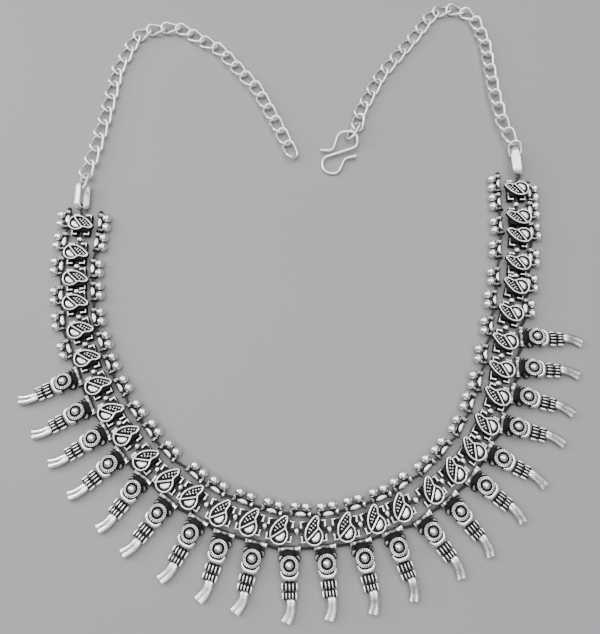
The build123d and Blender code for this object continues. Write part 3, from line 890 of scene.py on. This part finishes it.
# Columns: side and outwards, as shares of half the band's width and half its wall.
BAIL_SECTION = [
    (-1, -0.4), (-0.93, -0.9), (-0.5, -1.0), (0, -1.0), (0.5, -1.0), (0.93, -0.9), (1, -0.4),
    (0.97, 0.05), (0.78, 0.55), (0.42, 0.88), (0, 1.0), (-0.42, 0.88), (-0.78, 0.55), (-0.97, 0.05),
]


def bail_band():
    """A band bent to a long ring, narrower at the end that holds the chain."""
    middle = (BAIL_H - BAIL_WALL) / 2
    run = (BAIL_LEN - BAIL_WALL) / 2
    corners = [(0, run, middle), (0, run, -middle), (0, -run, -middle), (0, -run, middle)]
    line = Route(rounded_line(corners, middle - 0.01, closed=True, step=8.0), closed=True).evenly(56)
    section = [(u * BAIL_W / 2, v * BAIL_WALL / 2) for u, v in BAIL_SECTION]
    side = Vector((1, 0, 0))
    rings = []
    for i, point in enumerate(line):
        share = point.y / (BAIL_LEN / 2)
        tip = BAIL_TIP_W / BAIL_W if share > 0 else BAIL_OTHER_END
        width = 1.0 + (tip - 1.0) * abs(share) ** 1.6
        along = (line[(i + 1) % len(line)] - line[i - 1]).normalized()
        out = side.cross(along)
        rings.append([point + side * u * width + out * v for u, v in section])
    bm = new_casting()
    skin(bm, rings, loop=True)
    return bm


# Corners of the hook's wire from its upper end, x and y, and the bend at each but the ends.
HOOK_ROUTE = [
    (7.5, 63.5), (12.0, 63.2), (14.2, 71.1), (21.2, 71.0), (20.9, 64.9), (8.0, 60.3), (8.3, 54.6),
    (13.6, 53.9), (16.3, 60.1), (20.4, 61.2),
]
HOOK_BENDS = [2.2, 3.6, 2.8, 2.6, 3.0, 3.2, 2.8, 2.6]
HOOK_WIRE = 1.1


def hook_wire():
    """An S of wire, flared at its ends and beaten flat in the middle."""
    line = Route(rounded_line(HOOK_ROUTE, HOOK_BENDS, step=6.0))
    count = 110
    points = line.evenly(count) + [line.at(line.length)]
    widths = []
    for i in range(count + 1):
        from_end = min(i, count - i) / count
        flare = max(0.0, 1.0 - from_end / 0.05)
        beaten = math.exp(-((i / count - 0.5) / 0.16) ** 2)
        widths.append((1.0 + 0.10 * flare + 0.08 * beaten, 1.0 - 0.12 * flare - 0.16 * beaten))
    bm = new_casting()
    swept(bm, points, circle(HOOK_WIRE / 2, 14), widths)
    return bm


# ------ copying castings along a row

# Sockets of a random value node for plain numbers.
RANDOM_MIN, RANDOM_MAX, RANDOM_RESULT = 2, 3, 1


def copies_tree():
    """Copies of one casting on given places, each a little different, as cast pieces are."""
    tree = bpy.data.node_groups.new("Copies_of_a_casting", "GeometryNodeTree")
    for label, kind in (
        ("Places", "Geometry"), ("Casting", "Object"), ("Metal", "Material"),
        ("Uneven size", "Float"), ("Rough cast", "Float"), ("Rough cast scale", "Float"),
        ("Seed", "Int"),
    ):
        tree.interface.new_socket(label, in_out="INPUT", socket_type=f"NodeSocket{kind}")
    tree.interface.new_socket("Copies", in_out="OUTPUT", socket_type="NodeSocketGeometry")
    given, out = tree.nodes.new("NodeGroupInput"), tree.nodes.new("NodeGroupOutput")
    seed, uneven = given.outputs["Seed"], given.outputs["Uneven size"]
    casting = new_node(tree, "GeometryNodeObjectInfo", Object=given.outputs["Casting"])
    lay = new_node(tree, "GeometryNodeInputNamedAttribute", {"data_type": "FLOAT_VECTOR"}, Name="lay")
    turn = new_node(tree, "FunctionNodeEulerToRotation", Euler=lay.outputs["Attribute"])
    size = new_node(tree, "FunctionNodeRandomValue", {"data_type": "FLOAT"}, Seed=seed)
    feed(tree, size.inputs[RANDOM_MIN], calculate(tree, "SUBTRACT", 1.0, uneven))
    feed(tree, size.inputs[RANDOM_MAX], calculate(tree, "ADD", 1.0, uneven))
    put = new_node(
        tree, "GeometryNodeInstanceOnPoints", Points=given.outputs["Places"],
        Instance=casting.outputs["Geometry"], Rotation=turn.outputs[0],
        Scale=size.outputs[RANDOM_RESULT],
    )
    tone = new_node(tree, "FunctionNodeRandomValue", {"data_type": "FLOAT"}, Seed=seed)
    mark = new_node(
        tree, "GeometryNodeStoreNamedAttribute", {"data_type": "FLOAT", "domain": "INSTANCE"},
        Name="tone", Geometry=put.outputs["Instances"], Value=tone.outputs[RANDOM_RESULT],
    )
    real = new_node(tree, "GeometryNodeRealizeInstances", Geometry=mark.outputs["Geometry"])
    rough = new_node(
        tree, "ShaderNodeTexNoise", Detail=1.0, Scale=given.outputs["Rough cast scale"]
    )
    centred = new_node(tree, "ShaderNodeVectorMath", {"operation": "SUBTRACT"})
    for socket, value in zip(centred.inputs, (rough.outputs["Color"], (0.5, 0.5, 0.5))):
        feed(tree, socket, value)
    offset = new_node(
        tree, "ShaderNodeVectorMath", {"operation": "SCALE"},
        Vector=centred.outputs[0], Scale=given.outputs["Rough cast"],
    )
    shifted = new_node(
        tree, "GeometryNodeSetPosition", Geometry=real.outputs["Geometry"], Offset=offset.outputs[0]
    )
    paint = new_node(
        tree, "GeometryNodeSetMaterial", Geometry=shifted.outputs["Geometry"],
        Material=given.outputs["Metal"],
    )
    feed(tree, out.inputs["Copies"], paint.outputs["Geometry"])
    return tree


COPIES = copies_tree()
SHIFT = Matrix.Translation(MIDDLE)
ROUGH_CAST_SCALE = 420.0
seeds = iter(range(11, 1000))


def copies(name, casting, places, metal, uneven=0.008, rough=0.04):
    """The castings of one node, each on its place, as one plain mesh."""
    spots = bpy.data.meshes.new(name)
    lays = [SHIFT @ spot for spot in places]
    spots.from_pydata([lay.translation * MM for lay in lays], [], [])
    turns = spots.attributes.new("lay", "FLOAT_VECTOR", "POINT")
    turns.data.foreach_set("vector", [angle for lay in lays for angle in lay.to_euler()])
    piece = add_object(name, spots)
    modifier = piece.modifiers.new("copies", "NODES")
    modifier.node_group = COPIES
    values = {
        "Casting": casting, "Metal": metal, "Uneven size": uneven,
        "Rough cast": rough * MM, "Rough cast scale": ROUGH_CAST_SCALE, "Seed": next(seeds),
    }
    for item in COPIES.interface.items_tree:
        if item.name in values and item.in_out == "INPUT":
            modifier[item.identifier] = values[item.name]
    ready = piece.evaluated_get(bpy.context.evaluated_depsgraph_get())
    mesh = bpy.data.meshes.new_from_object(ready)
    piece.modifiers.clear()
    piece.data = mesh
    mesh.name = name
    return piece


def several(name, groups, metal, **looks):
    """One piece from several castings: groups is (casting, places) pairs."""
    parts = []
    for i, (casting, places) in enumerate(groups):
        parts.append(copies(f"{name}_{i}", casting, places, metal, **looks))
    bm = bmesh.new()
    for part in parts:
        bm.from_mesh(part.data)
    whole, *others = parts
    mesh = bpy.data.meshes.new(name)
    bm.to_mesh(mesh)
    bm.free()
    mesh.materials.append(metal)
    for part in others:
        bpy.data.objects.remove(part)
    whole.data = mesh
    whole.name = name
    return whole


def hand_over(piece, node):
    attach(piece, "root")
    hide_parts(node)


# ------ where the castings lie, in mm

# Corners of the lines of the plaques, the neck pairs, and the drops with the outer pairs,
# x and y from left to right.
MIDDLE_ROUTE = [
    (-75.0, 41.5), (-75.9, 21.0), (-73.8, 2.0), (-67.3, -17.0), (-57.4, -34.5), (-43.5, -50.0),
    (-25.5, -61.5), (-3.0, -67.8), (18.0, -65.6), (37.5, -57.5), (52.5, -45.0), (62.0, -28.0),
    (66.5, -8.0), (72.6, 12.0), (75.6, 32.0), (76.4, 54.0),
]
INNER_ROUTE = [
    (-69.3, 38.5), (-70.5, 18.0), (-68.2, -1.0), (-61.9, -16.8), (-52.2, -32.2), (-40.5, -45.2),
    (-25.2, -56.0), (-7.8, -62.0), (8.6, -62.8), (24.6, -58.0), (39.4, -49.1), (50.6, -37.0),
    (57.6, -22.0), (62.8, -4.0), (66.8, 13.5), (69.8, 32.5), (70.7, 53.5),
]
OUTER_ROUTE = [
    (-80.9, 39.5), (-81.4, 20.0), (-79.2, 0.5), (-73.6, -15.8), (-65.3, -31.3), (-53.7, -46.6),
    (-38.8, -59.4), (-21.7, -68.5), (-2.0, -72.8), (18.0, -70.4), (36.0, -64.6), (50.7, -54.1),
    (61.5, -39.3), (68.6, -23.7), (72.6, -6.8), (76.4, 8.5), (80.0, 27.5), (81.6, 52.0),
]
ROW_BEND = 40
# How far each piece has slid along its row from an even pitch. CLOSE is the plaque that
# almost touches the one before, with no bead or feet between them.
PLAQUE_START, PLAQUE_PITCH, CLOSE = 8.7, 9.45, 30
PLAQUE_SHIFT = [
    0.0, 1.4, 1.4, 0.5, 0.9, 1.3, 1.7, 1.9, 1.4, 1.8, 1.7, 1.2, 1.6, 1.3, 1.0, 1.5,
    1.6, 1.1, 0.1, 1.3, 1.1, 0.6, 0.0, 0.4, 0.0, 0.0, 0.6, 1.0, 0.1, 1.0, -1.6, 0.0,
]
PAIR_START, PAIR_PITCH = 4.7, 8.76
PAIR_SHIFT = [
    0.0, -1.4, -0.3, -0.7, -0.1, -0.1, -0.7, -0.7, -0.1, -0.7, -0.6, 1.4, 0.5, 0.8, 1.1, 1.0, 0.6,
    0.2, -0.2, -1.3, -0.9, -1.9, -1.7, -1.8, -3.0, -2.4, -1.2, -0.5, -0.8, 0.6, 1.0, 1.5, 0.0,
]
# How far each pair is turned on its row, in degrees.
PAIR_TURN = [
    5, 3, 2, 3, -2, 0, 2, 4, 2, -4, -2, -5, -2, -2, -5, -2, 2,
    -2, -4, 2, 3, 3, 5, 6, 8, 8, 8, 7, 7, 3, 6, 2, -2,
]
# The outer row. Columns: place along it, turn in degrees.
OUTER_LEFT = [(4.3, 0), (12.7, -2), (21.9, -5), (32.6, -2), (41.6, -7), (51.7, 2)]
DROPS = [
    (61.8, -3), (72.3, 0), (82.2, -4), (91.2, 1), (101.0, 4), (111.7, -2), (122.4, -1),
    (131.1, 4), (141.0, -2), (150.9, 5), (161.4, -1), (172.0, 0), (181.8, 2), (191.8, 8),
    (201.8, 3), (212.0, 1), (221.2, 7), (231.3, 9), (241.6, 7), (250.5, 9), (260.9, 11),
]
OUTER_RIGHT = [(271.2, 11), (280.3, 8), (289.8, 6), (299.8, 4), (307.9, 5), (314.9, 4)]
# The chains from their bails, x and y, then the pitch and number of their curb links.
LEFT_CHAIN_ROUTE = [
    (-76.0, 54.9), (-74.4, 62.0), (-72.0, 78.0), (-69.6, 99.0), (-62.8, 117.0), (-48.0, 119.2),
    (-30.5, 107.8), (-16.2, 90.0), (-9.0, 75.5), (-0.5, 57.0), (2.0, 48.0),
]
LEFT_LINKS = (5.86, 27)
RIGHT_CHAIN_ROUTE = [
    (76.6, 68.4), (74.6, 75.0), (73.0, 88.0), (71.8, 112.0), (67.6, 127.2), (54.2, 128.2),
    (43.0, 112.5), (31.0, 97.0), (22.6, 80.5), (18.5, 62.0),
]
RIGHT_LINKS = (5.9, 24)
CHAIN_BEND = 10.5
# Height of a link's middle, and how much closer the links lie for each degree of a bend.
LINK_Z, LINK_CROWDING = 1.32, 0.013
# How much higher the links lie that come down from a bail, and those that rise to the hook.
FIRST_LIFTS, LAST_LIFTS = (1.0, 0.84, 0.68, 0.53, 0.38, 0.24, 0.1), (0.2, 0.4)
# Columns: x, y, turn and lean in degrees.
BAIL_LEFT, BAIL_RIGHT = (-76.6, 43.9, 2, -35), (77.8, 57.6, 1, -24)
# The link in each bail. Columns: place along the bail, dip and roll in degrees.
LEFT_FIRST, RIGHT_FIRST = (5.6, -14, 0), (5.6, -12, -8)
# The link on the hook: x, y, height, turn, and its roll.
HOOKED_LINK, HOOKED_ROLL = (19.6, 70.9, 2.3, math.radians(-117)), 50
# The hook's lean up from its lower bend, in degrees.
HOOK_TILT = 4.6
# A bead lies midway between two plaques' sides, this far from their middles.
PLAQUE_SIDE = 2.7


def chain_places(points, pitch, count, last_lifts=()):
    route = Route(rounded_line(points, CHAIN_BEND, step=0.5))
    spots, station = [], 0.0
    for i in range(count):
        from_end = i - count + len(last_lifts)
        lift = FIRST_LIFTS[i] if i < len(FIRST_LIFTS) else 0.0
        lift = last_lifts[from_end] if from_end >= 0 else lift
        spots.append(on_row(route, station, z=LINK_Z + lift))
        turn = math.degrees(route.heading(station + pitch) - route.heading(station))
        station += pitch - LINK_CROWDING * abs((turn + 180) % 360 - 180)
    return spots


def turned_by(axis, degrees):
    return Matrix.Rotation(math.radians(degrees), 4, axis)


def bail_spot(x, y, turn, lean, mesh):
    lay = turned_by("Z", turn) @ turned_by("Y", lean)
    lowest = min((lay @ v.co).z for v in mesh.vertices) / MM
    return place(x, y, -lowest) @ lay


def link_in_bail(spot, along, dip, roll):
    lay = turned_by("X", dip) @ turned_by("Y", roll) @ turned_by("Z", 90)
    return spot @ Matrix.Translation((0, along, 0)) @ lay


def cast_row(name, casting, places, node, **looks):
    hand_over(copies(name, casting, places, CAST, **looks), node)


def build_rows():
    routes = (MIDDLE_ROUTE, INNER_ROUTE, OUTER_ROUTE)
    middle, inner, outer = (Route(rounded_line(points, ROW_BEND, step=0.5)) for points in routes)
    plaques = []
    for i, shift in enumerate(PLAQUE_SHIFT):
        plaques.append(on_row(middle, PLAQUE_START + i * PLAQUE_PITCH + shift))
    whole = finished("plaque", paisley_plaque((-1, 1)), CAST)
    no_right = finished("plaque_a", paisley_plaque((-1,)), CAST)
    no_left = finished("plaque_b", paisley_plaque((1,)), CAST)
    half = len(plaques) // 2
    cast_row("paisley_plaques_left", whole, plaques[:half], "plaques_left")
    groups = [
        (whole, plaques[half : CLOSE - 1] + plaques[CLOSE + 1 :]),
        (no_right, [plaques[CLOSE - 1]]),
        (no_left, [plaques[CLOSE]]),
    ]
    hand_over(several("paisley_plaques_right", groups, CAST), "plaques_right")
    beads = []
    for i, (one, other) in enumerate(zip(plaques, plaques[1:])):
        if i + 1 != CLOSE:
            start, end = one @ Vector((PLAQUE_SIDE, 0, 0)), other @ Vector((-PLAQUE_SIDE, 0, 0))
            way = end - start
            x, y = (start.x + end.x) / 2, (start.y + end.y) / 2
            beads.append(place(x, y, 0, math.atan2(way.y, way.x)))
    bead = finished("granule", granule(), CAST, sides=0.1)
    cast_row("granules", bead, beads, "spacer_beads", uneven=0.03)
    pairs = []
    for i, (shift, turn) in enumerate(zip(PAIR_SHIFT, PAIR_TURN)):
        pairs.append(on_row(inner, PAIR_START + i * PAIR_PITCH + shift, turn))
    # Sides 0.6 paints shade on the balls' flanks, as dark rims.
    pair = finished("ball_pair", ball_pair(), CAST, sides=0.6)
    half = len(pairs) // 2
    cast_row("neck_pairs_left", pair, pairs[:half], "inner_ball_pairs_left")
    cast_row("neck_pairs_right", pair, pairs[half:], "inner_ball_pairs_right")
    # Sides 0.6 paints shade on the balls' flanks, as dark rims.
    outward = finished("outer_pair", ball_pair(outwards=True), CAST, sides=0.6)
    for side, stations in (("left", OUTER_LEFT), ("right", OUTER_RIGHT)):
        spots = [on_row(outer, station, turn) for station, turn in stations]
        cast_row(f"edge_pairs_{side}", outward, spots, f"outer_ball_pairs_{side}")
    drop = finished("drop", fringe_drop(), CAST)
    for i, (station, turn) in enumerate(DROPS):
        cast_row(f"fringe_{i + 1:02d}", drop, [on_row(outer, station, turn)], f"drop_{i + 1:02d}")


def build_ends():
    band = finished("bail", bail_band(), BRIGHT, sides=0.0)
    curb = finished("curb", wire_link(*CURB_LINK), BRIGHT, sides=0.15)
    plain = finished("plain", wire_link(*PLAIN_LINK), BRIGHT, sides=0.15)
    spots = {"left": bail_spot(*BAIL_LEFT, band.data), "right": bail_spot(*BAIL_RIGHT, band.data)}
    for side, spot in spots.items():
        end = copies(f"end_{side}", band, [spot], BRIGHT, uneven=0.0)
        hand_over(end, f"bail_{side}")
    hooked = place(*HOOKED_LINK) @ turned_by("X", HOOKED_ROLL)
    left = [(plain, [link_in_bail(spots["left"], *LEFT_FIRST)])]
    left += [(curb, chain_places(LEFT_CHAIN_ROUTE, *LEFT_LINKS))]
    right = [(plain, [link_in_bail(spots["right"], *RIGHT_FIRST), hooked])]
    right += [(curb, chain_places(RIGHT_CHAIN_ROUTE, *RIGHT_LINKS, LAST_LIFTS))]
    for side, groups in (("left", left), ("right", right)):
        chain = several(f"curb_chain_{side}", groups, BRIGHT, uneven=0.0, rough=0.03)
        hand_over(chain, f"chain_{side}")
    hook = finished("hook", hook_wire(), BRIGHT, sides=0.1)
    low = min(y for x, y in HOOK_ROUTE)
    tilt = Matrix.Translation((0, low, 0)) @ turned_by("X", HOOK_TILT) @ Matrix.Translation((0, -low, 0))
    lowest = min((tilt @ (v.co / MM)).z for v in hook.data.vertices)
    spot = Matrix.Translation((0, 0, -lowest)) @ tilt
    hand_over(copies("double_hook", hook, [spot], BRIGHT, uneven=0.0), "s_hook")


def lay_floor():
    mesh = bpy.data.meshes.new("floor")
    mesh.from_pydata([(-2, -2, 0), (2, -2, 0), (2, 2, 0), (-2, 2, 0)], [], [(0, 1, 2, 3)])
    mesh.materials.append(floor_material())
    floor = add_object("floor", mesh)


set_camera()
set_lights()
lay_floor()
build_rows()
build_ends()
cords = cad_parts["threads"]
cords.data.materials.clear()
cords.data.materials.append(COTTON)
